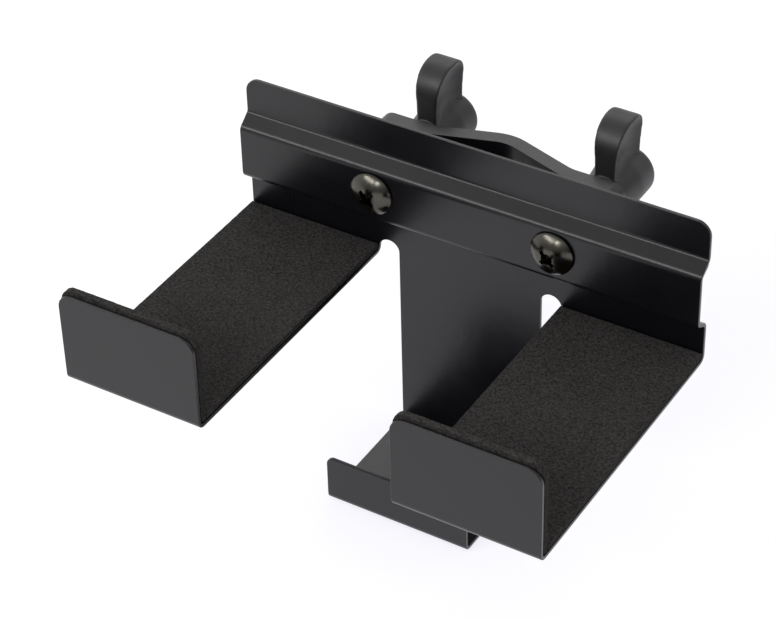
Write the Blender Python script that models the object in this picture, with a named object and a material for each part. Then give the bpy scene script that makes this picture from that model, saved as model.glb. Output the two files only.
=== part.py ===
"""Mini percussion rack: a bent steel plate with two foam-lined trays and a small lower tray,
held on a stand tube by two long screws, a V-shaped clamp bar and two moulded wing nuts.

Metres, +Z up. X runs along the width, -Y points to the player, +Y to the stand.
The origin lies on the plate's rear face, where the stand tube bears, midway across the width.
"""
import bpy
import bmesh
from math import atan2, cos, pi, radians, sin, tan
from mathutils import Matrix, Vector

# Driving dimensions of the bent plate
RACK_WIDTH = 0.160
SHEET = 0.0012
BEND_RADIUS = 0.0014
FLANGE_HEIGHT = 0.0123
JOGGLE_DROP = 0.0027
BAND_FORWARD = 0.0048
BAND_HEIGHT = 0.0177
WALL_HEIGHT = 0.0132
CORNER_RADIUS = 0.0048
SEAT_BELOW_SCREWS = 0.018

# The two foam-lined upper trays
TRAY_DEPTH = 0.1004
TRAY_LIP = 0.0330
TRAY_GAP_HALF = 0.0324

# The tongue between the two relief slots and its bare lower tray
SLOT_WIDTH = 0.0072
SLOT_RISE = 0.0032
TONGUE_DROP = 0.0651
LOWER_DEPTH = 0.0462
LOWER_LIP = 0.0174
LOWER_CORNER = 0.0025

# Foam lining
FOAM = 0.0022
FOAM_ABOVE_LIP = 0.0008
FOAM_EDGE = 0.0002

# Clamp screws
SCREW_SPACING = 0.063
SCREW_DIAMETER = 0.0060
SCREW_LENGTH = 0.050
SCREW_POINT = 0.0010
HEAD_DIAMETER = 0.0147
HEAD_HEIGHT = 0.0038
HEAD_RIM = 0.0007
CROSS_SPAN = 0.0066
CROSS_ARM = 0.0015
CROSS_DEPTH = 0.0026

# Clamp bar
CLAMP_GAP = 0.0145
BAR_THICK = 0.0050
BAR_HEIGHT = 0.0253
BAR_BEYOND_SCREW = 0.0112
BAR_CORNER = 0.0045
BAR_BEND_RADIUS = 0.0110
VEE_HALF = 0.0234
VEE_DEPTH = 0.0075

# Wing nuts
HUB_LENGTH = 0.0260
HUB_RADIUS = 0.0087
HUB_NOSE_RADIUS = 0.0066
HUB_NOSE_LENGTH = 0.0170
HUB_EDGE = 0.0018
WING_WIDTH = 0.0171
WING_REACH = 0.0245
WING_START = 0.0072
WING_FRONT_ROUND = 0.0088
WING_REAR_ROUND = 0.0060
WING_WAIST = 0.0074
WING_FLARE = 0.0024
WING_EDGE = 0.0010
WING_RIM = 0.0024
WING_DISH = 0.0012
INSERT_ACROSS = 0.0090
INSERT_LENGTH = 0.0100

# Clearances between pieces that touch
SEAT_GAP = 0.0003
HOLE_GAP = 0.0003
BORE_GAP = 0.0006

# Fineness of round shapes
ARC_STEP = radians(11.25)
ROUND_STEPS = 48

SIDES = {"left": -1, "right": 1}
MERGE = 1e-6

# Heights and depths that follow from the dimensions
SCREW_LINE = SEAT_BELOW_SCREWS
BAND_TOP = SCREW_LINE + BAND_HEIGHT / 2
BAND_FOOT = SCREW_LINE - BAND_HEIGHT / 2
WALL_TOP = BAND_FOOT - JOGGLE_DROP
FLANGE_FOOT = BAND_TOP + JOGGLE_DROP
FLANGE_TOP = FLANGE_FOOT + FLANGE_HEIGHT
TRAY_FLOOR = WALL_TOP - WALL_HEIGHT
LOWER_FLOOR = TRAY_FLOOR - TONGUE_DROP
TONGUE_HALF = TRAY_GAP_HALF - SLOT_WIDTH
HALF_WIDTH = RACK_WIDTH / 2
HOLE_RADIUS = SCREW_DIAMETER / 2 + HOLE_GAP


def clear_scene():
    for item in list(bpy.data.objects):
        bpy.data.objects.remove(item, do_unlink=True)


def material(name, colour, roughness, metallic=0.0):
    """A Principled material; the colour is linear red, green, blue."""
    made = bpy.data.materials.new(name)
    made.use_nodes = True
    shader = made.node_tree.nodes["Principled BSDF"]
    shader.inputs["Base Color"].default_value = (*colour, 1.0)
    shader.inputs["Roughness"].default_value = roughness
    shader.inputs["Metallic"].default_value = metallic
    made.diffuse_color = (*colour, 1.0)
    return made


def finish(bm, name, coat, sharp=30.0):
    """Turn a bmesh into a named object with outward faces and smooth round sides."""
    bmesh.ops.remove_doubles(bm, verts=bm.verts, dist=MERGE)
    bmesh.ops.dissolve_degenerate(bm, dist=MERGE, edges=bm.edges)
    bmesh.ops.recalc_face_normals(bm, faces=bm.faces)
    mesh = bpy.data.meshes.new(name)
    bm.to_mesh(mesh)
    bm.free()
    mesh.shade_smooth()
    mesh.set_sharp_from_angle(angle=radians(sharp))
    mesh.materials.append(coat)
    made = bpy.data.objects.new(name, mesh)
    bpy.context.scene.collection.objects.link(made)
    return made


def rounded_outline(corners):
    """Points of a closed outline; each corner is (x, y, radius)."""
    points = []
    count = len(corners)
    for i, (x, y, radius) in enumerate(corners):
        here = Vector((x, y))
        before = (Vector(corners[i - 1][:2]) - here).normalized()
        after = (Vector(corners[(i + 1) % count][:2]) - here).normalized()
        if radius <= 0:
            points.append(here)
            continue
        half = before.angle(after) / 2
        centre = here + (before + after).normalized() * radius / sin(half)
        start = here + before * radius / tan(half) - centre
        end = here + after * radius / tan(half) - centre
        sweep = atan2(start.x * end.y - start.y * end.x, start.dot(end))
        steps = max(2, round(abs(sweep) / ARC_STEP))
        for k in range(steps + 1):
            points.append(centre + Matrix.Rotation(sweep * k / steps, 2) @ start)
    tidy = [p for i, p in enumerate(points) if (p - points[i - 1]).length > MERGE]
    return tidy


def circle_outline(x, y, radius, steps=ROUND_STEPS):
    return [Vector((x + radius * cos(2 * pi * k / steps), y + radius * sin(2 * pi * k / steps)))
            for k in range(steps)]


class FoldLine:
    """The line that a bent sheet's face follows, seen from its end.

    It runs through sharp corners, each rounded by a bend. The face looks to the left of the line
    and the metal lies on its right, so a left turn is bent to the inner radius on the face, and a
    right turn to the inner radius and the metal's thickness.
    """

    def __init__(self, corners, inner_radius, thickness, steps=6):
        points = [Vector(p) for p in corners]
        self.runs = []
        self.stations = []
        start = points[0]
        travelled = 0.0
        for here, after in zip(points[1:], points[2:] + [None]):
            heading = (here - start).normalized()
            trim = 0.0
            turn = 0.0
            if after is not None:
                onward = (after - here).normalized()
                turn = atan2(heading.x * onward.y - heading.y * onward.x, heading.dot(onward))
                radius = inner_radius + (thickness if turn < 0 else 0.0)
                trim = radius * tan(abs(turn) / 2)
            length = (here - start).length - trim
            self.runs.append((travelled, start, heading, 0.0))
            travelled += length
            if after is None:
                break
            bend = start + heading * length
            self.runs.append((travelled, bend, heading, (1 if turn > 0 else -1) / radius))
            self.stations += [travelled + radius * abs(turn) * k / steps for k in range(steps + 1)]
            travelled += radius * abs(turn)
            start = here + onward * trim
        self.length = travelled

    def at(self, along, depth):
        """The point at a distance along the face and a depth into the metal."""
        begin, point, heading, curve = max((r for r in self.runs if r[0] <= along + MERGE),
                                           key=lambda r: r[0])
        angle = atan2(heading.y, heading.x)
        reach = along - begin
        if curve == 0:
            place = point + heading * reach
        else:
            turned = angle + curve * reach
            place = point + Vector((sin(turned) - sin(angle), cos(angle) - cos(turned))) / curve
            angle = turned
        return place + Vector((sin(angle), -cos(angle))) * depth


def flat_blank(outline, holes):
    """A bmesh of one flat face with holes, in the plane of x and the distance along the fold."""
    bm = bmesh.new()
    for loop in [outline] + holes:
        verts = [bm.verts.new((p.x, p.y, 0.0)) for p in loop]
        for i, vert in enumerate(verts):
            bm.edges.new((verts[i - 1], vert))
    bmesh.ops.triangle_fill(bm, edges=bm.edges, use_beauty=True, normal=(0, 0, 1))
    return bm


def score(bm, stations, chosen=lambda face: True):
    """Cut the blank across at each station, so that it can bend there."""
    for station in stations:
        faces = [f for f in bm.faces if chosen(f)]
        verts = {v for f in faces for v in f.verts}
        edges = {e for f in faces for e in f.edges}
        bmesh.ops.bisect_plane(bm, geom=list(verts) + list(edges) + faces, dist=MERGE,
                               plane_co=(0, station, 0), plane_no=(0, 1, 0))


def thicken(bm, thickness):
    """Give the blank its thickness, down from the face."""
    raised = bmesh.ops.extrude_face_region(bm, geom=list(bm.faces), use_keep_orig=True)
    lowered = [g for g in raised["geom"] if isinstance(g, bmesh.types.BMVert)]
    bmesh.ops.translate(bm, verts=lowered, vec=(0, 0, -thickness))


def lathe(profile, steps=ROUND_STEPS):
    """A bmesh turned about the Y axis from (radius, along) points."""
    bm = bmesh.new()
    verts = [bm.verts.new((radius, along, 0.0)) for radius, along in profile]
    edges = [bm.edges.new(pair) for pair in zip(verts, verts[1:])]
    bmesh.ops.spin(bm, geom=verts + edges, cent=(0, 0, 0), axis=(0, 1, 0), angle=2 * pi,
                   steps=steps, use_merge=True, use_duplicate=False)
    bmesh.ops.remove_doubles(bm, verts=bm.verts, dist=MERGE)
    return bm


def prism(outline, low, high):
    """A bmesh of an outline in X and Z, between two places along Y."""
    bm = bmesh.new()
    ring = [bm.verts.new((p.x, low, p.y)) for p in outline]
    face = bm.faces.new(ring)
    moved = bmesh.ops.extrude_face_region(bm, geom=[face], use_keep_orig=True)
    far = [g for g in moved["geom"] if isinstance(g, bmesh.types.BMVert)]
    bmesh.ops.translate(bm, verts=far, vec=(0, high - low, 0))
    bmesh.ops.recalc_face_normals(bm, faces=bm.faces)
    return bm


def combine(body, tool_mesh, operation):
    """Apply an exact Boolean with a tool that is not kept."""
    tool = bpy.data.objects.new("tool", tool_mesh)
    bpy.context.scene.collection.objects.link(tool)
    tool.matrix_world = body.matrix_world
    step = body.modifiers.new(operation.lower(), "BOOLEAN")
    step.operation = operation
    step.object = tool
    step.solver = "EXACT"
    bpy.context.view_layer.update()
    view = body.evaluated_get(bpy.context.evaluated_depsgraph_get())
    result = bpy.data.meshes.new_from_object(view)
    body.modifiers.remove(step)
    body.data = result
    bpy.data.objects.remove(tool, do_unlink=True)


def tool_mesh(bm):
    bmesh.ops.recalc_face_normals(bm, faces=bm.faces)
    mesh = bpy.data.meshes.new("tool")
    bm.to_mesh(mesh)
    bm.free()
    return mesh


def plate_folds():
    """The fold lines of the wings, which carry the trays, and of the tongue."""
    face = SHEET
    band = face + BAND_FORWARD
    shared = [(face, FLANGE_TOP), (face, FLANGE_FOOT), (band, BAND_TOP), (band, BAND_FOOT),
              (face, WALL_TOP)]
    tray_front = face + TRAY_DEPTH - SHEET
    lower_front = face + LOWER_DEPTH - SHEET
    wing = [(face, TRAY_FLOOR), (tray_front, TRAY_FLOOR),
            (tray_front, TRAY_FLOOR - SHEET + TRAY_LIP)]
    tongue = [(face, LOWER_FLOOR), (lower_front, LOWER_FLOOR),
              (lower_front, LOWER_FLOOR - SHEET + LOWER_LIP)]
    return (FoldLine(shared + wing, BEND_RADIUS, SHEET),
            FoldLine(shared + tongue, BEND_RADIUS, SHEET))


def rack_plate(coat):
    """The plate: cut flat with its slots and holes, then bent into flange, band and trays."""
    wing, tongue = plate_folds()
    wall_end = [s for s in wing.stations if wing.at(s, 0).y < TRAY_FLOOR + BEND_RADIUS + MERGE]
    tray_bend = min(wall_end)
    slot_top = tray_bend - SLOT_RISE
    slot_round = SLOT_WIDTH / 2
    right = [
        (HALF_WIDTH, 0, CORNER_RADIUS),
        (HALF_WIDTH, wing.length, CORNER_RADIUS),
        (TRAY_GAP_HALF, wing.length, CORNER_RADIUS),
        (TRAY_GAP_HALF, slot_top, slot_round),
        (TONGUE_HALF, slot_top, slot_round),
        (TONGUE_HALF, tongue.length, LOWER_CORNER),
    ]
    left = [(-x, y, radius) for x, y, radius in reversed(right)]
    outline = rounded_outline(right + left)
    band_middle = next(s for s in wing.stations if wing.at(s, 0).y < BAND_FOOT + BAND_HEIGHT / 2)
    screw_along = band_middle - (SCREW_LINE - wing.at(band_middle, 0).y)
    holes = [circle_outline(side * SCREW_SPACING / 2, screw_along, HOLE_RADIUS)
             for side in SIDES.values()]
    bm = flat_blank(outline, holes)
    split = slot_top + slot_round
    middle = (TRAY_GAP_HALF + TONGUE_HALF) / 2
    score(bm, [s for s in wing.stations if s < split] + [split])
    score(bm, [s for s in wing.stations if s > split],
          lambda face: abs(face.calc_center_median().x) > middle)
    score(bm, [s for s in tongue.stations if s > split],
          lambda face: abs(face.calc_center_median().x) < middle)
    thicken(bm, SHEET)
    for vert in bm.verts:
        fold = tongue if abs(vert.co.x) < middle else wing
        forward, height = fold.at(vert.co.y, -vert.co.z)
        vert.co = (vert.co.x, -forward, height)
    return finish(bm, "rack_plate", coat)


def foam_strip(section):
    """A bmesh of a foam section, seen from its end, run across the right tray."""
    bm = bmesh.new()
    ring = [bm.verts.new((TRAY_GAP_HALF, -p.x, p.y)) for p in section]
    face = bm.faces.new(ring)
    moved = bmesh.ops.extrude_face_region(bm, geom=[face], use_keep_orig=True)
    end = [g for g in moved["geom"] if isinstance(g, bmesh.types.BMVert)]
    bmesh.ops.translate(bm, verts=end, vec=(HALF_WIDTH - TRAY_GAP_HALF, 0, 0))
    return bm


def mirrored(bm, side):
    if side < 0:
        bmesh.ops.scale(bm, verts=bm.verts, vec=(-1, 1, 1))
    bmesh.ops.triangulate(bm, faces=[f for f in bm.faces if len(f.verts) > 4])
    return bm


def floor_pad(name, side, coat):
    """Foam glued along a tray's floor, from the plate's wall to the lip's lining."""
    back = SHEET + SEAT_GAP
    front = TRAY_DEPTH - FOAM - 2 * SEAT_GAP
    under = TRAY_FLOOR + SEAT_GAP
    section = rounded_outline([
        (back, under, BEND_RADIUS),
        (front, under, 0),
        (front, under + FOAM, FOAM_EDGE),
        (back, under + FOAM, FOAM_EDGE),
    ])
    return finish(mirrored(foam_strip(section), side), name, coat)


def lip_lining(name, side, coat):
    """Foam glued up the inside of a tray's lip, down to the tray's floor."""
    front = TRAY_DEPTH - SEAT_GAP
    under = TRAY_FLOOR + SEAT_GAP
    top = TRAY_FLOOR - SHEET + TRAY_LIP + FOAM_ABOVE_LIP
    section = rounded_outline([
        (front - FOAM, under, 0),
        (front, under, BEND_RADIUS),
        (front, top, FOAM_EDGE),
        (front - FOAM, top, FOAM_EDGE),
    ])
    bm = foam_strip(section)
    round_lip_corner(bm, TRAY_GAP_HALF, 1, top)
    round_lip_corner(bm, HALF_WIDTH, -1, top)
    return finish(mirrored(bm, side), name, coat)


def round_lip_corner(bm, edge, inward, top):
    """Cut the foam's upper corner on the lip to an arc, a slice at a time."""
    radius = CORNER_RADIUS
    centre = Vector((edge + inward * radius, top - radius))
    steps = max(3, round(radians(90) / ARC_STEP))
    for k in range(steps):
        angle = (k + 0.5) * radians(90) / steps
        outward = Vector((-inward * cos(angle), sin(angle)))
        touch = centre + outward * radius
        cut = bmesh.ops.bisect_plane(bm, geom=list(bm.verts) + list(bm.edges) + list(bm.faces),
                                     dist=MERGE, plane_co=(touch.x, 0, touch.y),
                                     plane_no=(outward.x, 0, outward.y), clear_outer=True)
        rim = [g for g in cut["geom_cut"] if isinstance(g, bmesh.types.BMEdge)]
        bmesh.ops.holes_fill(bm, edges=rim)


def head_profile():
    """The screw from the crown of its head to its point, as (radius, along)."""
    seat = -SHEET - BAND_FORWARD - SEAT_GAP
    radius = HEAD_DIAMETER / 2
    rise = HEAD_HEIGHT - HEAD_RIM
    crown = (radius ** 2 + rise ** 2) / (2 * rise)
    spread = atan2(radius, crown - rise)
    steps = 9
    dome = [(crown * sin(spread * k / steps),
             seat - HEAD_RIM + crown - rise - crown * cos(spread * k / steps))
            for k in range(steps + 1)]
    shank = SCREW_DIAMETER / 2
    tip = seat + SCREW_LENGTH
    return dome + [(radius, seat), (shank, seat), (shank, tip - SCREW_POINT),
                   (shank - SCREW_POINT, tip), (0.0, tip)]


def cross_recess():
    """The driver's cross: four arms that narrow towards the bottom."""
    bm = bmesh.new()
    crown = -SHEET - BAND_FORWARD - SEAT_GAP - HEAD_HEIGHT
    levels = [(crown - HEAD_HEIGHT, 1.0), (crown, 1.0), (crown + CROSS_DEPTH, 0.45)]
    rings = []
    for along, share in levels:
        reach = CROSS_SPAN / 2 * share
        arm = CROSS_ARM / 2 * (0.5 + 0.5 * share)
        quarter = [Vector((reach, -arm)), Vector((reach, arm)), Vector((arm, arm))]
        ring = []
        for turn in range(4):
            spin = Matrix.Rotation(turn * pi / 2, 2)
            ring += [bm.verts.new(((spin @ p).x, along, (spin @ p).y)) for p in quarter]
        rings.append(ring)
    for low, high in zip(rings, rings[1:]):
        for i in range(len(low)):
            bm.faces.new((low[i - 1], low[i], high[i], high[i - 1]))
    bm.faces.new(rings[0])
    bm.faces.new(reversed(rings[-1]))
    bmesh.ops.rotate(bm, verts=bm.verts, cent=(0, 0, 0), matrix=Matrix.Rotation(pi / 4, 3, "Y"))
    return bm


def clamp_screw(name, side, coat):
    """A long machine screw with a domed head, through the band and the clamp bar."""
    made = finish(lathe(head_profile()), name, coat)
    combine(made, tool_mesh(cross_recess()), "DIFFERENCE")
    made.data.set_sharp_from_angle(angle=radians(30))
    made.location = (side * SCREW_SPACING / 2, 0, SCREW_LINE)
    return made


def clamp_bar(coat):
    """A flat bar bent into a shallow V, with round ends and a hole for each screw."""
    screw = SCREW_SPACING / 2
    fold = FoldLine([(-screw, 0), (-VEE_HALF, 0), (0, -VEE_DEPTH), (VEE_HALF, 0), (screw, 0)],
                    BAR_BEND_RADIUS, BAR_THICK)
    middle = fold.length / 2
    half = BAR_HEIGHT / 2
    end = middle + BAR_BEYOND_SCREW
    outline = rounded_outline([(x * end, y * half, BAR_CORNER)
                               for x, y in ((-1, -1), (1, -1), (1, 1), (-1, 1))])
    bm = bmesh.new()
    for loop in [outline] + [circle_outline(side * middle, 0, HOLE_RADIUS)
                             for side in SIDES.values()]:
        verts = [bm.verts.new((p.y, p.x, 0.0)) for p in loop]
        for i, vert in enumerate(verts):
            bm.edges.new((verts[i - 1], vert))
    bmesh.ops.triangle_fill(bm, edges=bm.edges, use_beauty=True, normal=(0, 0, 1))
    score(bm, [s - middle for s in fold.stations])
    thicken(bm, BAR_THICK)
    for vert in bm.verts:
        along = vert.co.y + middle
        beyond = min(along, 0.0) + max(along - fold.length, 0.0)
        across, back = fold.at(min(max(along, 0.0), fold.length), -vert.co.z)
        vert.co = (across + beyond, -back, vert.co.x)
    made = finish(bm, "clamp_bar", coat)
    made.location = (0, CLAMP_GAP, SCREW_LINE)
    return made


def hub_profile():
    """The hub of a wing nut from its nose on the bar to its rear rim, as (radius, along)."""
    rim = [(HUB_RADIUS - HUB_EDGE + HUB_EDGE * cos(pi / 2 * k / 4),
            HUB_LENGTH - HUB_EDGE + HUB_EDGE * sin(pi / 2 * k / 4)) for k in range(5)]
    chamfer = HUB_EDGE / 4
    return ([(0.0, 0.0), (HUB_NOSE_RADIUS - chamfer, 0.0), (HUB_NOSE_RADIUS, chamfer),
             (HUB_RADIUS, HUB_NOSE_LENGTH)] + rim + [(0.0, HUB_LENGTH)])


def wing_outline():
    """Side view of the two wings as one plate across the hub: (along, out) points."""
    rear = WING_START + WING_WIDTH
    return rounded_outline([
        (WING_START, -WING_REACH, WING_FRONT_ROUND),
        (rear, -WING_REACH, WING_REAR_ROUND),
        (rear, WING_REACH, WING_REAR_ROUND),
        (WING_START, WING_REACH, WING_FRONT_ROUND),
    ])


def wing_plate():
    """Both wings in one plate: dished on each side, thicker towards the tips, with soft edges."""
    bm = bmesh.new()
    dished = bm.faces.layers.int.new("dished")
    ring = [bm.verts.new((0.0, p.x, p.y)) for p in wing_outline()]
    face = bm.faces.new(ring)
    moved = bmesh.ops.extrude_face_region(bm, geom=[face], use_keep_orig=True)
    far = [g for g in moved["geom"] if isinstance(g, bmesh.types.BMVert)]
    bmesh.ops.translate(bm, verts=far, vec=(1.0, 0, 0))
    bmesh.ops.recalc_face_normals(bm, faces=bm.faces)
    broad = [f for f in bm.faces if abs(f.normal.x) > 0.9]
    bmesh.ops.inset_region(bm, faces=broad, thickness=WING_EDGE, use_even_offset=True)
    slope = min(WING_RIM, 0.9 * (WING_REAR_ROUND - WING_EDGE))
    bmesh.ops.inset_region(bm, faces=broad, thickness=slope, use_even_offset=True)
    for face in broad:
        face[dished] = 1
    for level in [WING_REACH * share / 8 for share in range(-7, 8)]:
        bmesh.ops.bisect_plane(bm, geom=list(bm.verts) + list(bm.edges) + list(bm.faces),
                               dist=MERGE, plane_co=(0, 0, level), plane_no=(0, 0, 1))
    rim = {v for f in bm.faces if abs(f.normal.x) < 0.5 for v in f.verts}
    hollow = {v for f in bm.faces if f[dished] for v in f.verts}
    for vert in bm.verts:
        reach = abs(vert.co.z) / WING_REACH
        half = WING_WAIST / 2 + WING_FLARE / 2 * max(0.0, (reach - 0.4) / 0.6) ** 2
        inward = WING_EDGE / 2 if vert in rim else 0.0
        inward += WING_DISH if vert in hollow else 0.0
        vert.co.x = (1 if vert.co.x > 0.5 else -1) * (half - inward)
    return bm


def wing_nut(name, side, bar, coat):
    """A moulded wing nut on the bar: hub and wings in one, with a bore and an insert's pocket."""
    made = finish(lathe(hub_profile()), name, coat)
    combine(made, tool_mesh(wing_plate()), "UNION")
    bore = prism(circle_outline(0, 0, SCREW_DIAMETER / 2 + BORE_GAP, 32), -HUB_LENGTH,
                 2 * HUB_LENGTH)
    combine(made, tool_mesh(bore), "DIFFERENCE")
    across = INSERT_ACROSS / 2 + HOLE_GAP
    pocket = prism(circle_outline(0, 0, across / cos(pi / 6), 6), -HUB_LENGTH,
                   INSERT_LENGTH + SEAT_GAP)
    combine(made, tool_mesh(pocket), "DIFFERENCE")
    made.data.set_sharp_from_angle(angle=radians(35))
    made.parent = bar
    made.location = (side * SCREW_SPACING / 2, BAR_THICK + SEAT_GAP, 0)
    return made


def nut_insert(name, nut, coat):
    """The threaded hexagonal metal insert that the plastic is moulded round."""
    hexagon = circle_outline(0, 0, INSERT_ACROSS / 2 / cos(pi / 6), 6)
    made = finish(prism(hexagon, 0.0, INSERT_LENGTH), name, coat)
    bore = prism(circle_outline(0, 0, HOLE_RADIUS, 32), -INSERT_LENGTH, 2 * INSERT_LENGTH)
    combine(made, tool_mesh(bore), "DIFFERENCE")
    made.data.set_sharp_from_angle(angle=radians(30))
    made.parent = nut
    return made


def build():
    clear_scene()
    paint = material("black satin coat", (0.012, 0.012, 0.014), 0.30)
    foam = material("charcoal foam", (0.030, 0.028, 0.028), 0.95)
    screw = material("black nickel", (0.10, 0.095, 0.090), 0.22, 1.0)
    plastic = material("black moulded plastic", (0.020, 0.020, 0.021), 0.42)
    steel = material("plated steel insert", (0.45, 0.44, 0.42), 0.35, 1.0)
    rack_plate(paint)
    bar = clamp_bar(paint)
    for hand, side in SIDES.items():
        floor_pad(f"floor_pad_{hand}", side, foam)
        lip_lining(f"lip_lining_{hand}", side, foam)
        clamp_screw(f"clamp_screw_{hand}", side, screw)
        nut = wing_nut(f"wing_nut_{hand}", side, bar, plastic)
        nut_insert(f"nut_insert_{hand}", nut, steel)


build()
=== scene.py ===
"""Looks for the mini percussion rack: coated steel, foam, screws, wing nuts, floor and light.

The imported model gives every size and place. What is made here sits on it and rides on its bodies.
Lengths are in metres; X runs along the rack's width, -Y to the player and +Z up.
"""
from math import atan2, cos, pi, radians, sin, sqrt

import bmesh
import bpy
from bpy.props import FloatProperty, FloatVectorProperty, PointerProperty
from bpy.types import Operator, Panel, PropertyGroup
from mathutils import Matrix, Vector, noise


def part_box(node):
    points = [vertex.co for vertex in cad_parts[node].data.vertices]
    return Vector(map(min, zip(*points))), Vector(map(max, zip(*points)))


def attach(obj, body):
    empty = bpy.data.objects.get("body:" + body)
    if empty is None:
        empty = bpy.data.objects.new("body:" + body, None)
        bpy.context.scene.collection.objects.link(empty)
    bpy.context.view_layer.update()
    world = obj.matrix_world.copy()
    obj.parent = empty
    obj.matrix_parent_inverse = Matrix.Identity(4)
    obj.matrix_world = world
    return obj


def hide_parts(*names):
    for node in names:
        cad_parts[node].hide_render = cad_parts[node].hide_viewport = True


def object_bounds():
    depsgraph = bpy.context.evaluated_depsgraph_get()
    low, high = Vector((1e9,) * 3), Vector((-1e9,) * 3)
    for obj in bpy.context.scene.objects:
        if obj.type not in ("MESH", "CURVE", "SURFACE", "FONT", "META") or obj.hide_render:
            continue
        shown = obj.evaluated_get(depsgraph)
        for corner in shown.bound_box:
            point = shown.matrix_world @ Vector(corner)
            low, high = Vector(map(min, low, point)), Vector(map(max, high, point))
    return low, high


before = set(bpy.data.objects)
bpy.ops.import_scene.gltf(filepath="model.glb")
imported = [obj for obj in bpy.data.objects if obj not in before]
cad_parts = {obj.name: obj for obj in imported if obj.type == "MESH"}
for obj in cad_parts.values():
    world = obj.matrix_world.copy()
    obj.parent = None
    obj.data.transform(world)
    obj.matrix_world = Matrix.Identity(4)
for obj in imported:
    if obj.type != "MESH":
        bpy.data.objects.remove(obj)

bl_info = {
    "name": "Mini percussion rack",
    "version": (1, 0, 0),
    "blender": (4, 5, 0),
    "location": "View3D > Sidebar > Rack",
    "description": "Dresses the packed percussion rack and sets its stage",
    "category": "Object",
}

CAD_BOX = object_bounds()
HANDS = ("left", "right")

# Meshes: the distance at which points merge, the angles that count as flat or sharp, in degrees,
# and how far a large face leads the shading (at most 100)
MERGE = 1e-6
FLAT_ANGLE = 0.4
RIM_ANGLE = 30.0
SHEET_ANGLE = 40.0
SCREW_ANGLE = 35.0
FACE_WEIGHT = 100

# Plate: its sheet, and heights between its bends, where no bend reaches
SHEET = 0.0012
FLANGE_CLEAR = 0.0340
JOGGLE_MIDDLE = 0.0282
BAND_CLEAR = 0.0240
SCREWS_CLEAR = 0.0125
WALL_CLEAR = 0.0030
LIP_CLEAR = 0.0080
PLATE_RIM_STEPS = 4
BAR_RIM_STEPS = 5

# Foam: its grain and waves go mostly inwards, so that it stays in the space of its solid
GRAIN_SINK = 0.6
WAVE_SINK = 0.5

# Screws: the steps of a round and of the crown, how the cross is cut, where the rounded corner
# of the rim has its middle point, and how to tell the rim and the shank in the solid
ROUND_STEPS = 96
CROWN_STEPS = 26
CORE_STEPS = 48
THREAD_STEPS = 32
CUT_ABOVE = 0.0005
CROSS_RIM = 0.0001
CROSS_RIM_STEPS = 2
ARM_END_TAPER = 0.78
ARM_SIDE_TAPER = 0.8
CONE_MOUTH = 0.0022
CONE_SHOULDER = 0.0018
CONE_FOOT = 0.0009
CONE_LIP = 0.0004
CONE_BEYOND_ARMS = 1.08
CONE_STEPS = 24
CORNER_IN = 0.25
CORNER_DOWN = 0.1
RIM_ONLY = 0.98
SHANK_ONLY = 0.01

# Thread: shares of the pitch, for the half width of a ridge at its foot and at its crest; the
# share of its depth that goes into the core; and shares for where the core starts in the head,
# how long and how narrow the point is, and where on it the thread ends
RIDGE_FOOT = 0.44
RIDGE_CREST = 0.08
RIDGE_SUNK = 0.3
CORE_START = 0.8
POINT_LONG = 0.3
POINT_IN = 0.6
THREAD_END = 0.5

# Wing nuts: the edge at the nose, the steps of roundings, the shares of the edge's width at
# which the wings are inset, the spacing of their points, and how they thicken and hollow out
NOSE_EDGE = 0.0004
NUT_RIM_STEPS = 8
BORE_STEPS = 64
BORE_BEYOND = 0.01
SMOOTHINGS = 9
CORNER_STEPS = 14
EDGE_SHARES = (0.15, 0.25, 0.3, 0.3)
WING_STEP = 0.0009
TIP_START = 0.35
TIP_POWER = 1.6
BOWL_POWER = 2.7
ROOT_HEIGHT = 0.72
ROOT_GAIN = 1.6

# Materials: the values between which most of a noise lies
NOISE_SPAN = (0.3, 0.7)

# Floor: half its width, and how far it lies under the rack
FLOOR_HALF = 6.0
FLOOR_GAP = 0.0002

# Where each softbox stands and how large it is
KEY_SOFTBOX = ((0.16, -1.0, 0.66), (0.27, 0.20))
STRIP_SOFTBOX = ((-0.50, -0.85, 0.68), (0.9, 0.22))
BACK_SOFTBOX = ((-0.52, 0.80, 0.80), (0.9, 0.7))

# The floor glows a little cooler than daylight
COOL_WHITE = (0.97, 0.97, 1.06)

# The room is dim low down on the camera's side, and in gloss at the right and overhead too.
# Each pair says how far a direction leans that way, from -1 to 1, where a fade starts and ends.
DUSK_SIDE = (0.45, -0.89, 0.0)
DUSK_FADE = (-0.1, 0.7)
LOW_FADE = (0.75, 0.1)
RIGHT_FADE = (0.35, 1.0)
CEILING_FADE = (0.7, 0.95)

# Camera: the photograph's width in pixels, the sensor in millimetres, and what is drawn
FRAME_WIDTH = 777
SENSOR = 36.0
NEAREST = 0.05
FARTHEST = 50.0


def linear(code):
    """The linear colour of an sRGB hex code."""
    parts = [int(code[i:i + 2], 16) / 255 for i in (1, 3, 5)]
    return tuple(p / 12.92 if p <= 0.04045 else ((p + 0.055) / 1.055) ** 2.4 for p in parts)


def length(name, description, default):
    """A length that a user may change."""
    return FloatProperty(name=name, description=description, default=default, unit="LENGTH",
                         precision=5, min=0.0)


def colour(name, description, code):
    """A colour that a user may change, given as an sRGB hex code."""
    return FloatVectorProperty(name=name, description=description, default=linear(code),
                               subtype="COLOR", size=3, min=0.0, max=1.0)


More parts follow.
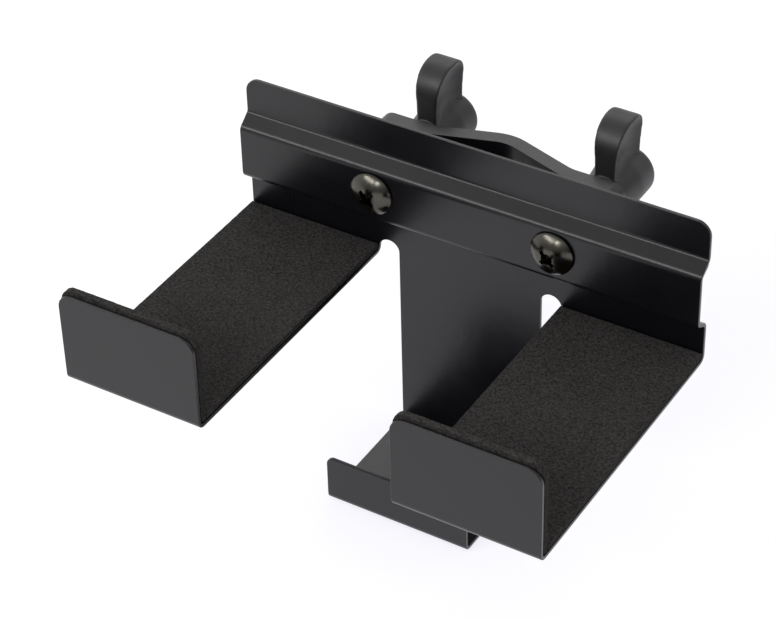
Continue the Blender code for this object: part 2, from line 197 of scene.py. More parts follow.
class RackSizes(PropertyGroup):
    """Sizes of the detail that the solids leave out."""

    plate_rim: length("Plate rim", "Rounding that the coat leaves on the sheet's edges", 0.00045)
    flange_rise: length("Flange rise", "How far the flange's top stands higher", 0.0005)
    joggle_rise: length("Joggle rise", "How far the joggle's upper bend stands higher", 0.0003)
    joggle_drop: length("Joggle drop", "How far the joggle's lower bend sits lower", 0.0004)
    band_drop: length("Band drop", "How far the band's foot sits lower", 0.0009)
    lip_drop: length("Lip drop", "How far the lips end below the foam's edge", 0.0006)
    bar_rim: length("Bar rim", "Rounding of the clamp bar's edges", 0.0010)
    foam_voxel: length("Foam cell", "Spacing of the foam's surface points", 0.00036)
    foam_grain: length("Foam grain", "Size of the foam's surface grain", 0.0009)
    foam_relief: length("Foam relief", "Height of the foam's surface grain", 0.00007)
    foam_wave: length("Foam wave", "Height of the slow waves in the glued foam", 0.00008)
    foam_span: length("Foam wave span", "Distance between the foam's slow waves", 0.016)
    thread_pitch: length("Thread pitch", "Rise of the screw thread in a turn", 0.001)
    thread_depth: length("Thread depth", "Depth of the screw thread", 0.00055)
    head_rim: length("Head rim", "Height of the screw head's straight rim", 0.0006)
    head_edge: length("Head edge", "Rounding of the screw head's rim", 0.0003)
    cross_span: length("Cross span", "Width across the driver's cross", 0.0066)
    cross_arm: length("Cross arm", "Width of an arm of the driver's cross", 0.0015)
    cross_depth: length("Cross depth", "Depth of the driver's cross", 0.0034)
    nut_voxel: length("Nut cell", "Spacing of the wing nut's surface points", 0.0003)
    nut_nose: length("Nut nose", "Radius of the wing nut's hub at the clamp bar", 0.0066)
    nut_hub: length("Nut hub", "Radius of the wing nut's hub at its rear", 0.0087)
    nut_flare: length("Nut flare", "Length over which the hub grows", 0.0170)
    nut_edge: length("Nut edge", "Rounding of the hub's rear rim", 0.0018)
    nut_bore: length("Nut bore", "Radius of the hole through the wing nut", 0.0036)
    wing_start: length("Wing start", "Distance from the clamp bar to the wings", 0.0072)
    wing_width: length("Wing width", "Width of a wing along the screw", 0.0171)
    wing_front: length("Wing front", "Rounding of a wing's front corner", 0.0088)
    wing_rear: length("Wing rear", "Rounding of a wing's rear corner", 0.0060)
    wing_waist: length("Wing waist", "Thickness of a wing at the hub", 0.0074)
    wing_tip: length("Wing tip", "Thickness that a wing gains at its tip", 0.0024)
    wing_edge: length("Wing edge", "Rounding along a wing's edge", 0.0007)
    wing_dish: length("Wing dish", "Depth of the dish in a wing's side", 0.0021)
    wing_bowl: length("Wing bowl", "Distance over which the dish deepens", 0.0085)
    wing_root: length("Wing root", "How much a wing thickens inside its dish at the hub", 0.0026)
    wing_fillet: length("Wing fillet", "Height over which a wing thickens to the hub", 0.0060)


class RackColours(PropertyGroup):
    """Colours of the finishes."""

    coat: colour("Coat", "Satin powder coat on the steel", "#08080c")
    coat_pale: colour("Coat, pale", "The coat where it is thinner", "#0b0b11")
    foam: colour("Foam", "Cut cells of the foam in shade", "#121111")
    foam_pale: colour("Foam, pale", "Cut cells of the foam in light", "#464443")
    plating: colour("Plating", "Black plating on the screws", "#514f49")
    plastic: colour("Plastic", "Moulded plastic of the wing nuts", "#212122")
    plastic_pale: colour("Plastic, pale", "The plastic where it is rubbed", "#2a2a2b")
    steel: colour("Steel", "Plated steel of the nuts' inserts", "#b4b2ad")
    floor: colour("Floor", "Pale studio floor", "#b2b2a9")
    floor_pale: colour("Floor, pale", "The floor where it is cleaner", "#b4b4ab")


class RackStage(PropertyGroup):
    """Camera and light."""

    azimuth: FloatProperty(name="Azimuth", description="How far the camera stands to the right",
                           default=radians(32.13), subtype="ANGLE")
    elevation: FloatProperty(name="Elevation", description="How high the camera stands",
                             default=radians(37.71), subtype="ANGLE")
    roll: FloatProperty(name="Roll", description="How far the camera leans",
                        default=radians(-1.58), subtype="ANGLE")
    distance: length("Distance", "From the camera to what it looks at", 0.8016)
    aim: FloatVectorProperty(name="Aim", description="The point that the camera looks at",
                             default=(-0.01434, -0.02564, -0.00775), subtype="TRANSLATION", size=3)
    focal: FloatProperty(name="Focal length", description="In pixels of the photograph's width",
                         default=2617.7, min=1.0)
    sky: FloatProperty(name="Sky", description="Light of the white room on the object",
                       default=0.56, min=0.0)
    dusk: FloatProperty(name="Dusk", description="Brightness of the room behind the camera",
                        default=0.35, min=0.0, max=1.0)
    ceiling: FloatProperty(name="Ceiling", description="Brightness of the room overhead, in gloss",
                           default=0.5, min=0.0, max=1.0)
    key: FloatProperty(name="Key", description="Power of the softbox by the camera, in watts",
                       default=1.7, min=0.0)
    strip: FloatProperty(name="Strip", description="Power of the strip light at the left, in watts",
                         default=4.0, min=0.0)
    back: FloatProperty(name="Back", description="Power of the softbox at the back, in watts",
                        default=1.4, min=0.0)
    glow: FloatProperty(name="Floor glow", description="Light that the bright floor adds to itself",
                        default=0.75, min=0.0)


def copied(node):
    """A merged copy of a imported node's mesh, with its flat faces whole again."""
    bm = bmesh.new()
    bm.from_mesh(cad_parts[node].data)
    bmesh.ops.remove_doubles(bm, verts=bm.verts, dist=MERGE)
    bmesh.ops.dissolve_limit(bm, angle_limit=radians(FLAT_ANGLE), verts=bm.verts, edges=bm.edges)
    return bm


def round_rims(bm, rim, segments):
    """Round every sharp edge of a mesh."""
    edges = [e for e in bm.edges if e.is_manifold and e.calc_face_angle() > radians(RIM_ANGLE)]
    bmesh.ops.bevel(bm, geom=edges, offset=rim, offset_type="OFFSET", segments=segments,
                    profile=0.5, affect="EDGES", clamp_overlap=True, material=-1)


def piece(name, bm, coat, body, replaced=(), sharp=None):
    """A finished object on its body, from a bmesh that is then freed."""
    mesh = bpy.data.meshes.new(name)
    bm.to_mesh(mesh)
    bm.free()
    mesh.shade_smooth()
    if sharp:
        mesh.set_sharp_from_angle(angle=radians(sharp))
    mesh.materials.append(coat)
    made = bpy.data.objects.new(name, mesh)
    bpy.context.scene.collection.objects.link(made)
    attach(made, body)
    if replaced:
        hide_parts(*replaced)
    return made


def even_faces(made):
    """Let large flat faces set the shading, so that only the rims and bends shade round."""
    weighted = made.modifiers.new("flat faces", "WEIGHTED_NORMAL")
    weighted.keep_sharp = True
    weighted.weight = FACE_WEIGHT


def modified(bm, kind, settings):
    """The mesh after one modifier, as a new bmesh; the old one is freed."""
    mesh = bpy.data.meshes.new("step")
    bm.to_mesh(mesh)
    bm.free()
    holder = bpy.data.objects.new("step", mesh)
    bpy.context.scene.collection.objects.link(holder)
    step = holder.modifiers.new("step", kind)
    for key, value in settings.items():
        setattr(step, key, value)
    bpy.context.view_layer.update()
    graph = bpy.context.evaluated_depsgraph_get()
    result = bmesh.new()
    result.from_mesh(holder.evaluated_get(graph).to_mesh())
    bpy.data.objects.remove(holder, do_unlink=True)
    bpy.data.meshes.remove(mesh)
    return result


def cut_away(bm, cutter):
    """Cut one mesh out of another."""
    bmesh.ops.recalc_face_normals(cutter, faces=cutter.faces)
    mesh = bpy.data.meshes.new("cutter")
    cutter.to_mesh(mesh)
    cutter.free()
    tool = bpy.data.objects.new("cutter", mesh)
    bpy.context.scene.collection.objects.link(tool)
    result = modified(bm, "BOOLEAN", {"object": tool, "operation": "DIFFERENCE",
                                      "solver": "EXACT"})
    bpy.data.objects.remove(tool, do_unlink=True)
    return result


def turned(profile, steps):
    """A solid turned about the Y axis from (radius, along) points."""
    bm = bmesh.new()
    verts = [bm.verts.new((radius, along, 0.0)) for radius, along in profile]
    edges = [bm.edges.new(pair) for pair in zip(verts, verts[1:])]
    bmesh.ops.spin(bm, geom=verts + edges, cent=(0, 0, 0), axis=(0, 1, 0), angle=2 * pi,
                   steps=steps, use_merge=True, use_duplicate=False)
    bmesh.ops.remove_doubles(bm, verts=bm.verts, dist=MERGE)
    bmesh.ops.recalc_face_normals(bm, faces=bm.faces)
    return bm


def joined(bm, other):
    """Put the second mesh into the first; the second is freed."""
    mesh = bpy.data.meshes.new("other")
    other.to_mesh(mesh)
    other.free()
    bm.from_mesh(mesh)
    bpy.data.meshes.remove(mesh)
    return bm


def smooth(bm, times):
    """Relax a mesh's points towards their neighbours, in place."""
    for _ in range(times):
        bmesh.ops.smooth_vert(bm, verts=bm.verts, factor=0.5, use_axis_x=True, use_axis_y=True,
                              use_axis_z=True)


def add(tree, kind, settings=None, inputs=None):
    """A node with its settings, and its inputs set to values or linked to sockets."""
    made = tree.nodes.new(kind)
    for key, value in (settings or {}).items():
        setattr(made, key, value)
    for key, value in (inputs or {}).items():
        if isinstance(value, bpy.types.NodeSocket):
            tree.links.new(value, made.inputs[key])
        else:
            made.inputs[key].default_value = value
    return made


def opaque(rgb):
    """A colour with the alpha that a colour socket needs."""
    return (*rgb, 1.0)


def pattern(tree, place, size, detail, **more):
    """Noise with features of about a size."""
    return add(tree, "ShaderNodeTexNoise", inputs={
        "Vector": place, "Scale": 1 / size, "Detail": detail, **more}).outputs["Fac"]


def patchy(tree, noise_value, low, high):
    """A roughness that follows a noise from one value to another."""
    return add(tree, "ShaderNodeMapRange", inputs={
        "Value": noise_value, "From Min": NOISE_SPAN[0], "From Max": NOISE_SPAN[1],
        "To Min": low, "To Max": high}).outputs["Result"]


def mottled(tree, noise_value, hue, pale):
    """A colour that follows a noise from one hue to another."""
    return add(tree, "ShaderNodeMix", {"data_type": "RGBA"}, {
        "Factor": noise_value, "A": opaque(hue), "B": opaque(pale)}).outputs["Result"]


def relief(tree, height, strength, distance, **more):
    """A normal bent by a small height."""
    return add(tree, "ShaderNodeBump", inputs={
        "Height": height, "Strength": strength, "Distance": distance,
        **more}).outputs["Normal"]


def fade(tree, value, span, levels=(0.0, 1.0)):
    """A soft step from one level to another while a value crosses a span."""
    return add(tree, "ShaderNodeMapRange", {"interpolation_type": "SMOOTHSTEP"}, {
        "Value": value, "From Min": span[0], "From Max": span[1],
        "To Min": levels[0], "To Max": levels[1]}).outputs["Result"]


def product(tree, first, second):
    """Two values, multiplied."""
    return add(tree, "ShaderNodeMath", {"operation": "MULTIPLY"}, {
        0: first, 1: second}).outputs["Value"]


def blank_material(name):
    """A new material, its empty node tree and its Object coordinates."""
    made = bpy.data.materials.new(name)
    made.use_nodes = True
    made.node_tree.nodes.clear()
    place = add(made.node_tree, "ShaderNodeTexCoord").outputs["Object"]
    return made, made.node_tree, place


def close_material(made, tree, shader):
    """The material, with a shader on its output."""
    add(tree, "ShaderNodeOutputMaterial", inputs={"Surface": shader.outputs[0]})
    return made


def satin_powder_coat(hues):
    """Polyester powder coat, baked on steel: near black, with a tight satin gloss.

    Almost all that the eye sees is the white room in it, soft at the edges, and the dark trays.
    """
    made, tree, place = blank_material("satin powder coat")
    clouds = pattern(tree, place, size=0.045, detail=3.0)
    tone = mottled(tree, clouds, hues.coat, hues.coat_pale)
    patches = pattern(tree, place, size=0.012, detail=2.0)
    gloss = patchy(tree, patches, low=0.27, high=0.32)
    # The baked powder's own relief is about 0.3 mm across; it is drawn at 0.6 mm to show.
    grains = pattern(tree, place, size=0.0006, detail=2.0)
    powder = relief(tree, grains, strength=0.5, distance=0.00001)
    # Orange peel, the slow ripple of a melted powder, is a few millimetres across.
    ripple = pattern(tree, place, size=0.003, detail=1.0)
    peel = relief(tree, ripple, strength=0.5, distance=0.00006, Normal=powder)
    shader = add(tree, "ShaderNodeBsdfPrincipled", inputs={
        "Base Color": tone, "Roughness": gloss, "IOR": 1.5, "Normal": peel})
    return close_material(made, tree, shader)


def closed_cell_foam(hues):
    """Skived closed-cell foam: cut cells make a fine matt speckle, slightly warm."""
    made, tree, place = blank_material("closed-cell foam")
    # Cut cells are about 0.3 mm across; the speckle is drawn at 0.75 mm so that it shows.
    cells = pattern(tree, place, size=0.00075, detail=2.0, Roughness=0.6)
    broad = pattern(tree, place, size=0.014, detail=2.0)
    speckle = add(tree, "ShaderNodeMapRange", inputs={
        "Value": cells, "From Min": 0.25, "From Max": 0.75, "To Min": -0.1, "To Max": 1.0})
    shade = add(tree, "ShaderNodeMath", {"operation": "MULTIPLY_ADD"}, {
        0: broad, 1: 0.2, 2: speckle.outputs["Result"]})
    tone = mottled(tree, shade.outputs["Value"], hues.foam, hues.foam_pale)
    shader = add(tree, "ShaderNodeBsdfPrincipled", inputs={
        "Base Color": tone, "Roughness": 0.92, "IOR": 1.4, "Specular IOR Level": 0.25,
        "Normal": relief(tree, cells, strength=0.6, distance=0.00012)})
    return close_material(made, tree, shader)


def black_nickel(hues):
    """Black nickel plating on a rolled screw: a dark mirror, a little dulled."""
    made, tree, place = blank_material("black nickel plating")
    haze = pattern(tree, place, size=0.0015, detail=4.0)
    shader = add(tree, "ShaderNodeBsdfPrincipled", inputs={
        "Base Color": opaque(hues.plating), "Metallic": 1.0,
        "Roughness": patchy(tree, haze, low=0.16, high=0.26),
        "Normal": relief(tree, haze, strength=0.15, distance=0.00002)})
    return close_material(made, tree, shader)


def moulded_nylon(hues):
    """Injection-moulded black nylon: an eroded mould leaves it finely matt, handling rubs it."""
    made, tree, place = blank_material("moulded nylon")
    rubbed = pattern(tree, place, size=0.009, detail=3.0)
    tone = mottled(tree, rubbed, hues.plastic, hues.plastic_pale)
    # The mould's eroded grain is near 0.1 mm; it is drawn at 0.4 mm to show.
    grain = pattern(tree, place, size=0.0004, detail=1.0)
    shader = add(tree, "ShaderNodeBsdfPrincipled", inputs={
        "Base Color": tone, "Roughness": patchy(tree, rubbed, low=0.52, high=0.42),
        "IOR": 1.53, "Normal": relief(tree, grain, strength=0.35, distance=0.00002)})
    return close_material(made, tree, shader)


def zinc_plated_steel(hues):
    """Zinc-plated steel of the threaded inserts, turned on a lathe: bright, in fine patches."""
    made, tree, place = blank_material("zinc-plated steel")
    patches = pattern(tree, place, size=0.0008, detail=2.0)
    shader = add(tree, "ShaderNodeBsdfPrincipled", inputs={
        "Base Color": opaque(hues.steel), "Metallic": 1.0,
        "Roughness": patchy(tree, patches, low=0.28, high=0.4)})
    return close_material(made, tree, shader)


def bright_ray(tree):
    """1 for the rays that should meet the white room: from the camera, a gloss or glass."""
    path = add(tree, "ShaderNodeLightPath")
    seen = add(tree, "ShaderNodeMath", {"operation": "MAXIMUM"}, {
        0: path.outputs["Is Camera Ray"], 1: path.outputs["Is Glossy Ray"]})
    both = add(tree, "ShaderNodeMath", {"operation": "MAXIMUM"}, {
        0: seen.outputs["Value"], 1: path.outputs["Is Transmission Ray"]})
    return both.outputs["Value"]


def studio_floor(hues, glow):
    """Matt white table top: it keeps shadows, and glows a little to the camera and in gloss."""
    made, tree, place = blank_material("matt table top")
    tone = mottled(tree, pattern(tree, place, size=0.2, detail=2.0), hues.floor,
                   hues.floor_pale)
    matt = add(tree, "ShaderNodeBsdfDiffuse", inputs={"Color": tone})
    lit = add(tree, "ShaderNodeEmission", inputs={
        "Color": opaque(COOL_WHITE), "Strength": product(tree, bright_ray(tree), glow)})
    shader = add(tree, "ShaderNodeAddShader", inputs={0: matt.outputs[0], 1: lit.outputs[0]})
    return close_material(made, tree, shader)


class RACK_OT_plate(Operator):
    """Round the cut edges of the bent plate and give it its coat"""

    bl_idname = "rack.plate"
    bl_label = "Coated plate"

    def execute(self, context):
        sizes = context.scene.rack_sizes
        bm = copied("rack_plate")
        self.settle(bm, sizes)
        round_rims(bm, sizes.plate_rim, PLATE_RIM_STEPS)
        made = piece("coated_plate", bm, satin_powder_coat(context.scene.rack_colours), "rack",
                     ("rack_plate",), SHEET_ANGLE)
        even_faces(made)
        return {"FINISHED"}

    def settle(self, bm, sizes):
        """Shift each bend and the lips' tops by the last fraction of a millimetre."""
        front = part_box("rack_plate")[0].y
        lip_top = max(v.co.z for v in bm.verts if v.co.y < front + SHEET)
        shifts = ((FLANGE_CLEAR, sizes.flange_rise), (JOGGLE_MIDDLE, sizes.joggle_rise),
                  (BAND_CLEAR, -sizes.joggle_drop), (SCREWS_CLEAR, 0.0),
                  (WALL_CLEAR, -sizes.band_drop))
        for vert in bm.verts:
            if vert.co.y < front + 2 * SHEET:
                if vert.co.z > lip_top - LIP_CLEAR:
                    vert.co.z -= sizes.lip_drop
                continue
            for level, shift in shifts:
                if vert.co.z > level:
                    vert.co.z += shift
                    break


class RACK_OT_bar(Operator):
    """Round the edges of the V-shaped clamp bar and give it its coat"""

    bl_idname = "rack.bar"
    bl_label = "Clamp bar"

    def execute(self, context):
        bm = copied("clamp_bar")
        round_rims(bm, context.scene.rack_sizes.bar_rim, BAR_RIM_STEPS)
        coat = bpy.data.materials["satin powder coat"]
        made = piece("coated_bar", bm, coat, "clamp", ("clamp_bar",),
                     SHEET_ANGLE)
        even_faces(made)
        return {"FINISHED"}


class RACK_OT_foam(Operator):
    """Line the trays with foam: soft edges, cut cells and the slow waves of a glued sheet"""

    bl_idname = "rack.foam"
    bl_label = "Foam lining"

    def execute(self, context):
        sizes = context.scene.rack_sizes
        coat = closed_cell_foam(context.scene.rack_colours)
        for hand in HANDS:
            for node in (f"floor_pad_{hand}", f"lip_lining_{hand}"):
                self.line(node, sizes, coat)
        return {"FINISHED"}

    def line(self, node, sizes, coat):
        """One sheet of foam: evenly meshed, then given its waves and grain."""
        bm = modified(copied(node), "REMESH", {"mode": "VOXEL", "voxel_size": sizes.foam_voxel})
        bm.normal_update()
        for vert in bm.verts:
            grain = noise.noise(vert.co / sizes.foam_grain) - GRAIN_SINK
            wave = noise.noise(vert.co / sizes.foam_span) - WAVE_SINK
            vert.co += vert.normal * (sizes.foam_relief * grain + sizes.foam_wave * wave)
        made = piece(f"foam_{node}", bm, coat, "rack", (node,))


class RACK_OT_screws(Operator):
    """Make the long screws: domed head, driver's cross and rolled thread"""

    bl_idname = "rack.screws"
    bl_label = "Clamp screws"

    def execute(self, context):
        sizes = context.scene.rack_sizes
        coat = black_nickel(context.scene.rack_colours)
        for hand in HANDS:
            node = f"clamp_screw_{hand}"
            low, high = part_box(node)
            bm = self.head(sizes, (high.x - low.x) / 2)
            joined(bm, self.shank(sizes, high.y - low.y))
            centre = Vector(((low.x + high.x) / 2, low.y, (low.z + high.z) / 2))
            bmesh.ops.translate(bm, verts=bm.verts, vec=centre)
            piece(f"truss_screw_{hand}", bm, coat, "rack", (node,), SCREW_ANGLE)
        return {"FINISHED"}

    def head(self, sizes, radius):
        """The head from its crown, at y = 0, to its seat."""
        height = self.height()
        rise = height - sizes.head_rim
        crown = (radius ** 2 + rise ** 2) / (2 * rise)
        spread = atan2(radius, crown - rise)
        edge = sizes.head_edge / crown
        turns = [(spread - edge) * k / CROWN_STEPS for k in range(CROWN_STEPS + 1)]
        dome = [(crown * sin(turn), crown - crown * cos(turn)) for turn in turns]
        corner = [(radius - sizes.head_edge * CORNER_IN, rise + sizes.head_edge * CORNER_DOWN),
                  (radius, rise + sizes.head_edge)]
        foot = [(radius, height - sizes.head_edge), (radius - sizes.head_edge, height),
                (0.0, height)]
        bm = turned(dome + corner + foot, ROUND_STEPS)
        for cutter in self.cross(sizes):
            bm = cut_away(bm, cutter)
        return bm

    def height(self):
        """How far a head stands out of the band."""
        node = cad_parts["clamp_screw_left"]
        low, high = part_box("clamp_screw_left")
        middle = (low.x + high.x) / 2
        rim = (high.x - low.x) / 2 * RIM_ONLY
        reached = [v.co.y for v in node.data.vertices if abs(v.co.x - middle) > rim]
        return max(reached) - low.y

    def cross(self, sizes):
        """Two tapered arms and the cone between them."""
        made = []
        for turn in (pi / 4, -pi / 4):
            bm = bmesh.new()
            bmesh.ops.create_cube(bm, size=1.0)
            for vert in bm.verts:
                deep = vert.co.y > 0
                vert.co.x *= sizes.cross_span * (ARM_END_TAPER if deep else 1.0)
                vert.co.z *= sizes.cross_arm * (ARM_SIDE_TAPER if deep else 1.0)
                vert.co.y = sizes.cross_depth if deep else -CUT_ABOVE
            round_rims(bm, CROSS_RIM, CROSS_RIM_STEPS)
            bmesh.ops.rotate(bm, verts=bm.verts, cent=(0, 0, 0),
                             matrix=Matrix.Rotation(turn, 3, "Y"))
            made.append(bm)
        tip = sizes.cross_depth * CONE_BEYOND_ARMS
        made.append(turned([(0.0, -CUT_ABOVE), (CONE_MOUTH, -CUT_ABOVE),
                            (CONE_SHOULDER, CONE_LIP), (CONE_FOOT, tip - CONE_LIP),
                            (0.0, tip)], CONE_STEPS))
        return made

    def shank(self, sizes, reach):
        """The core and its helical ridge, from inside the head to the point."""
        outer = self.shank_radius()
        core = outer - sizes.thread_depth
        start = self.height() * CORE_START
        point = outer * POINT_LONG
        bm = turned([(0.0, start), (core, start), (core, reach - point),
                     (core - point * POINT_IN, reach), (0.0, reach)], CORE_STEPS)
        room = reach - point * THREAD_END - start - sizes.thread_pitch
        turns = int(room / sizes.thread_pitch)
        ridge = bmesh.new()
        wide = sizes.thread_pitch * RIDGE_FOOT
        narrow = sizes.thread_pitch * RIDGE_CREST
        dip = sizes.thread_depth * RIDGE_SUNK
        corners = [(core - dip, start), (core - dip, start + 2 * wide),
                   (outer, start + wide + narrow), (outer, start + wide - narrow)]
        verts = [ridge.verts.new((r, y, 0.0)) for r, y in corners]
        face = ridge.faces.new(verts)
        bmesh.ops.spin(ridge, geom=[face], cent=(0, 0, 0), axis=(0, 1, 0),
                       dvec=(0, sizes.thread_pitch / THREAD_STEPS, 0),
                       angle=-2 * pi * turns, steps=THREAD_STEPS * turns, use_duplicate=False)
        bmesh.ops.recalc_face_normals(ridge, faces=ridge.faces)
        return joined(bm, ridge)

    def shank_radius(self):
        """Half the thickness of a screw behind its head."""
        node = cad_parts["clamp_screw_left"]
        low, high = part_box("clamp_screw_left")
        middle = (low.x + high.x) / 2
        return max(abs(v.co.x - middle) for v in node.data.vertices
                   if v.co.y > low.y + SHANK_ONLY)


class RACK_OT_nuts(Operator):
    """Mould the wing nuts: hub and dished wings in one, with soft fillets"""

    bl_idname = "rack.nuts"
    bl_label = "Wing nuts"

    def execute(self, context):
        sizes = context.scene.rack_sizes
        coat = moulded_nylon(context.scene.rack_colours)
        low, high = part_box("wing_nut_left")
        mould = bpy.data.meshes.new("nut mould")
        bm = self.nut(sizes, high.y - low.y, (high.z - low.z) / 2)
        bm.to_mesh(mould)
        bm.free()
        for hand in HANDS:
            low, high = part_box(f"wing_nut_{hand}")
            centre = Vector(((low.x + high.x) / 2, low.y, (low.z + high.z) / 2))
            bm = bmesh.new()
            bm.from_mesh(mould)
            bmesh.ops.translate(bm, verts=bm.verts, vec=centre)
            piece(f"moulded_nut_{hand}", bm, coat, f"{hand}_nut",
                  (f"wing_nut_{hand}",))
        bpy.data.meshes.remove(mould)
        return {"FINISHED"}

    def nut(self, sizes, long, reach):
        """One nut about the Y axis, with its nose at y = 0."""
        turns = [pi / 2 * k / NUT_RIM_STEPS for k in range(NUT_RIM_STEPS + 1)]
        rim = [(sizes.nut_hub - sizes.nut_edge + sizes.nut_edge * cos(turn),
                long - sizes.nut_edge + sizes.nut_edge * sin(turn)) for turn in turns]
        nose = [(0.0, 0.0), (sizes.nut_nose - NOSE_EDGE, 0.0), (sizes.nut_nose, NOSE_EDGE)]
        hub = turned(nose + [(sizes.nut_hub, sizes.nut_flare)] + rim + [(0.0, long)],
                     ROUND_STEPS)
        bm = joined(hub, self.wings(sizes, reach))
        bm = modified(bm, "REMESH", {"mode": "VOXEL", "voxel_size": sizes.nut_voxel})
        smooth(bm, SMOOTHINGS)
        bore = turned([(0.0, -BORE_BEYOND), (sizes.nut_bore, -BORE_BEYOND),
                       (sizes.nut_bore, long + BORE_BEYOND), (0.0, long + BORE_BEYOND)],
                      BORE_STEPS)
        return cut_away(bm, bore)

    def wings(self, sizes, reach):
        """Both wings as one plate: dished on each side and thicker towards the tips."""
        front = sizes.wing_start
        bm, outline = self.wing_plate(sizes, front, reach)
        for k in range(-int(reach / WING_STEP), int(reach / WING_STEP) + 1):
            slit(bm, (0, 0, k * WING_STEP), (0, 0, 1))
        for k in range(1, int(sizes.wing_width / WING_STEP) + 1):
            slit(bm, (0, front + k * WING_STEP, 0), (0, 1, 0))
        for vert in bm.verts:
            inside = edge_distance(Vector((vert.co.y, vert.co.z)), outline)
            half = self.half_wing(sizes, inside, abs(vert.co.z), reach)
            vert.co.x = half if vert.co.x > 0.5 else -half
        return bm

    def wing_plate(self, sizes, front, reach):
        """A plate from x = 0 to x = 1 with the wings' outline, and that outline."""
        rear = front + sizes.wing_width
        bm = bmesh.new()
        corners = [bm.verts.new((0.0, y, z)) for y, z in
                   ((front, -reach), (rear, -reach), (rear, reach), (front, reach))]
        bm.faces.new(corners)
        for pair, rounding in ((corners[1:3], sizes.wing_rear),
                               (corners[::3], sizes.wing_front)):
            bmesh.ops.bevel(bm, geom=pair, offset=rounding, offset_type="OFFSET",
                            segments=CORNER_STEPS, profile=0.5, affect="VERTICES",
                            clamp_overlap=True, material=-1)
        face = bm.faces[:][0]
        outline = [Vector((v.co.y, v.co.z)) for v in face.verts]
        moved = bmesh.ops.extrude_face_region(bm, geom=[face], use_keep_orig=True)
        far = [g for g in moved["geom"] if isinstance(g, bmesh.types.BMVert)]
        bmesh.ops.translate(bm, verts=far, vec=(1.0, 0, 0))
        bmesh.ops.recalc_face_normals(bm, faces=bm.faces)
        broad = [f for f in bm.faces if abs(f.normal.x) > 0.9]
        for share in EDGE_SHARES:
            bmesh.ops.inset_region(bm, faces=broad, thickness=sizes.wing_edge * share,
                                   use_even_offset=True)
        return bm, outline

    def half_wing(self, sizes, inside, height, reach):
        """Half a wing's thickness at a height, so far inside its outline."""
        out = min(1.0, height / reach)
        gain = max(0.0, (out - TIP_START) / (1 - TIP_START)) ** TIP_POWER
        half = sizes.wing_waist / 2 + sizes.wing_tip / 2 * gain
        short = max(0.0, sizes.wing_edge - inside)
        half -= sizes.wing_edge - sqrt(max(0.0, sizes.wing_edge ** 2 - short ** 2))
        deep = min(1.0, max(0.0, inside - sizes.wing_edge) / sizes.wing_bowl)
        half -= sizes.wing_dish * (1 - (1 - deep) ** BOWL_POWER)
        above = (height - ROOT_HEIGHT * sizes.nut_hub) / sizes.wing_fillet
        near = (1 - min(1.0, max(0.0, above))) ** 2
        return half + sizes.wing_root * min(1.0, ROOT_GAIN * deep) * near


def slit(bm, place, normal):
    """Add edges where a plane crosses a mesh."""
    bmesh.ops.bisect_plane(bm, geom=list(bm.verts) + list(bm.edges) + list(bm.faces),
                           dist=MERGE, plane_co=place, plane_no=normal)


def edge_distance(point, outline):
    """How far a point lies from a closed outline."""
    least = 1.0
    for a, b in zip(outline, outline[1:] + outline[:1]):
        along = b - a
        share = min(1.0, max(0.0, (point - a).dot(along) / along.length_squared))
        least = min(least, (point - a - along * share).length)
    return least


class RACK_OT_inserts(Operator):
    """Plate the threaded inserts inside the wing nuts"""

    bl_idname = "rack.inserts"
    bl_label = "Nut inserts"

    def execute(self, context):
        coat = zinc_plated_steel(context.scene.rack_colours)
        for hand in HANDS:
            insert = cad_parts[f"nut_insert_{hand}"]
            insert.data.materials.clear()
            insert.data.materials.append(coat)
        return {"FINISHED"}


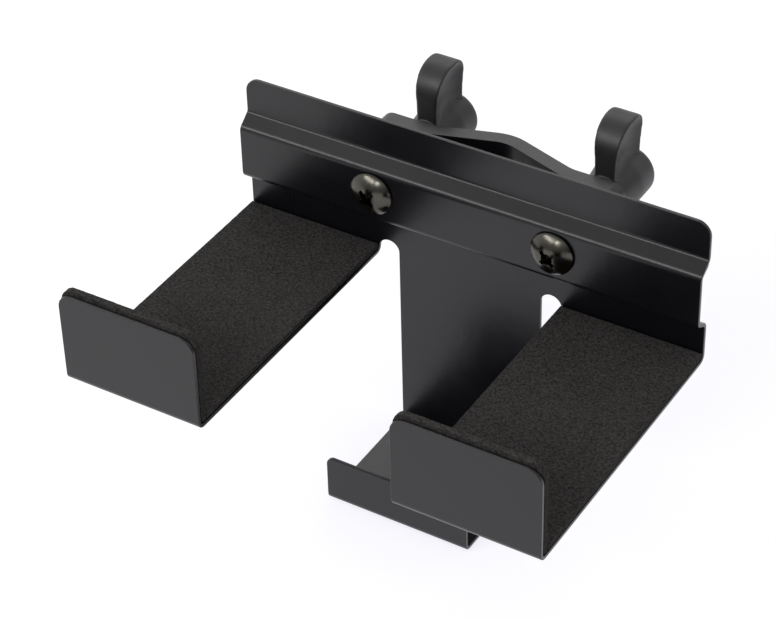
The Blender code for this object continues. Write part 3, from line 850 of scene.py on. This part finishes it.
class RACK_OT_stage(Operator):
    """Set the white floor, the room, the soft light and the camera"""

    bl_idname = "rack.stage"
    bl_label = "Stage"

    def execute(self, context):
        scene = context.scene
        stage = scene.rack_stage
        self.floor(scene)
        self.room(scene, stage)
        self.lamp("key softbox", *KEY_SOFTBOX, stage.key)
        self.lamp("strip softbox", *STRIP_SOFTBOX, stage.strip)
        self.lamp("back softbox", *BACK_SOFTBOX, stage.back)
        self.camera(scene, stage)
        scene.view_settings.view_transform = "Standard"
        return {"FINISHED"}

    def floor(self, scene):
        """A wide table top, just under the rack."""
        bm = bmesh.new()
        bmesh.ops.create_grid(bm, x_segments=1, y_segments=1, size=FLOOR_HALF)
        bmesh.ops.translate(bm, verts=bm.verts, vec=(0, 0, CAD_BOX[0].z - FLOOR_GAP))
        mesh = bpy.data.meshes.new("table_top")
        bm.to_mesh(mesh)
        bm.free()
        mesh.materials.append(studio_floor(scene.rack_colours, scene.rack_stage.glow))
        table = bpy.data.objects.new("table_top", mesh)
        scene.collection.objects.link(table)

    def room(self, scene, stage):
        """A white room, dimmer low down behind the camera, as a studio is."""
        world = bpy.data.worlds.new("white room")
        world.use_nodes = True
        tree = world.node_tree
        tree.nodes.clear()
        toward = add(tree, "ShaderNodeTexCoord").outputs["Generated"]
        axes = add(tree, "ShaderNodeSeparateXYZ", inputs={0: toward})
        player = add(tree, "ShaderNodeVectorMath", {"operation": "DOT_PRODUCT"}, {
            0: toward, 1: DUSK_SIDE})
        front = fade(tree, player.outputs["Value"], DUSK_FADE)
        low = fade(tree, axes.outputs["Z"], LOW_FADE)
        dim = product(tree, front, low)
        walls = add(tree, "ShaderNodeMapRange", inputs={
            "Value": dim, "To Min": 1.0, "To Max": stage.dusk})
        right = fade(tree, axes.outputs["X"], RIGHT_FADE, (1.0, stage.dusk))
        overhead = fade(tree, axes.outputs["Z"], CEILING_FADE, (1.0, stage.ceiling))
        level = add(tree, "ShaderNodeMapRange", inputs={
            "Value": bright_ray(tree), "To Min": stage.sky,
            "To Max": product(tree, right, overhead)})
        shade = product(tree, level.outputs["Result"], walls.outputs["Result"])
        seen = add(tree, "ShaderNodeLightPath").outputs["Is Camera Ray"]
        strength = add(tree, "ShaderNodeMapRange", inputs={
            "Value": seen, "To Min": shade, "To Max": 1.0})
        backdrop = add(tree, "ShaderNodeBackground", inputs={
            "Color": (1.0, 1.0, 1.0, 1.0), "Strength": strength.outputs["Result"]})
        add(tree, "ShaderNodeOutputWorld", inputs={"Surface": backdrop.outputs[0]})
        scene.world = world

    def lamp(self, name, place, spread, power):
        """A softbox that faces the origin and is not seen by the camera."""
        light = bpy.data.lights.new(name, "AREA")
        light.shape = "RECTANGLE"
        light.size, light.size_y = spread
        light.energy = power
        holder = bpy.data.objects.new(name, light)
        bpy.context.scene.collection.objects.link(holder)
        holder.location = place
        holder.rotation_euler = (-Vector(place)).to_track_quat("-Z", "Y").to_euler()
        holder.visible_camera = False

    def camera(self, scene, stage):
        """The camera that took the photograph, worked out from the plate's straight edges."""
        around, above, roll = stage.azimuth, stage.elevation, stage.roll
        back = Vector((sin(around) * cos(above), -cos(around) * cos(above), sin(above)))
        level = Vector((cos(around), sin(around), 0.0))
        upright = back.cross(level)
        right = level * cos(roll) + upright * sin(roll)
        up = upright * cos(roll) - level * sin(roll)
        data = bpy.data.cameras.new("camera")
        data.sensor_width = SENSOR
        data.lens = stage.focal / FRAME_WIDTH * SENSOR
        data.clip_start = NEAREST
        data.clip_end = FARTHEST
        holder = bpy.data.objects.new("camera", data)
        scene.collection.objects.link(holder)
        turn = Matrix((right, up, back)).transposed().to_4x4()
        holder.matrix_world = Matrix.Translation(Vector(stage.aim) + back * stage.distance) @ turn
        scene.camera = holder


class RACK_PT_panel(Panel):
    """Everything that dresses the rack, in order"""

    bl_idname = "RACK_PT_panel"
    bl_label = "Percussion rack"
    bl_space_type = "VIEW_3D"
    bl_region_type = "UI"
    bl_category = "Rack"

    def draw(self, context):
        column = self.layout.column(align=True)
        for maker in MAKERS:
            column.operator(maker.bl_idname)
        for group in (context.scene.rack_sizes, context.scene.rack_colours,
                      context.scene.rack_stage):
            box = self.layout.box()
            for key in group.__annotations__:
                box.prop(group, key)


MAKERS = (RACK_OT_plate, RACK_OT_bar, RACK_OT_foam, RACK_OT_screws, RACK_OT_nuts,
          RACK_OT_inserts, RACK_OT_stage)
GROUPS = {"rack_sizes": RackSizes, "rack_colours": RackColours, "rack_stage": RackStage}


def register():
    """Add the panel, the operators and the settings."""
    for kind in (*GROUPS.values(), *MAKERS, RACK_PT_panel):
        bpy.utils.register_class(kind)
    for name, group in GROUPS.items():
        setattr(bpy.types.Scene, name, PointerProperty(type=group))


def unregister():
    """Take everything out again."""
    for name in GROUPS:
        delattr(bpy.types.Scene, name)
    for kind in (RACK_PT_panel, *reversed(MAKERS), *reversed(GROUPS.values())):
        bpy.utils.unregister_class(kind)


def main():
    """Dress the rack and set its stage."""
    register()
    bpy.ops.rack.plate()
    bpy.ops.rack.bar()
    bpy.ops.rack.foam()
    bpy.ops.rack.screws()
    bpy.ops.rack.nuts()
    bpy.ops.rack.inserts()
    bpy.ops.rack.stage()


if __name__ == "__main__":
    main()
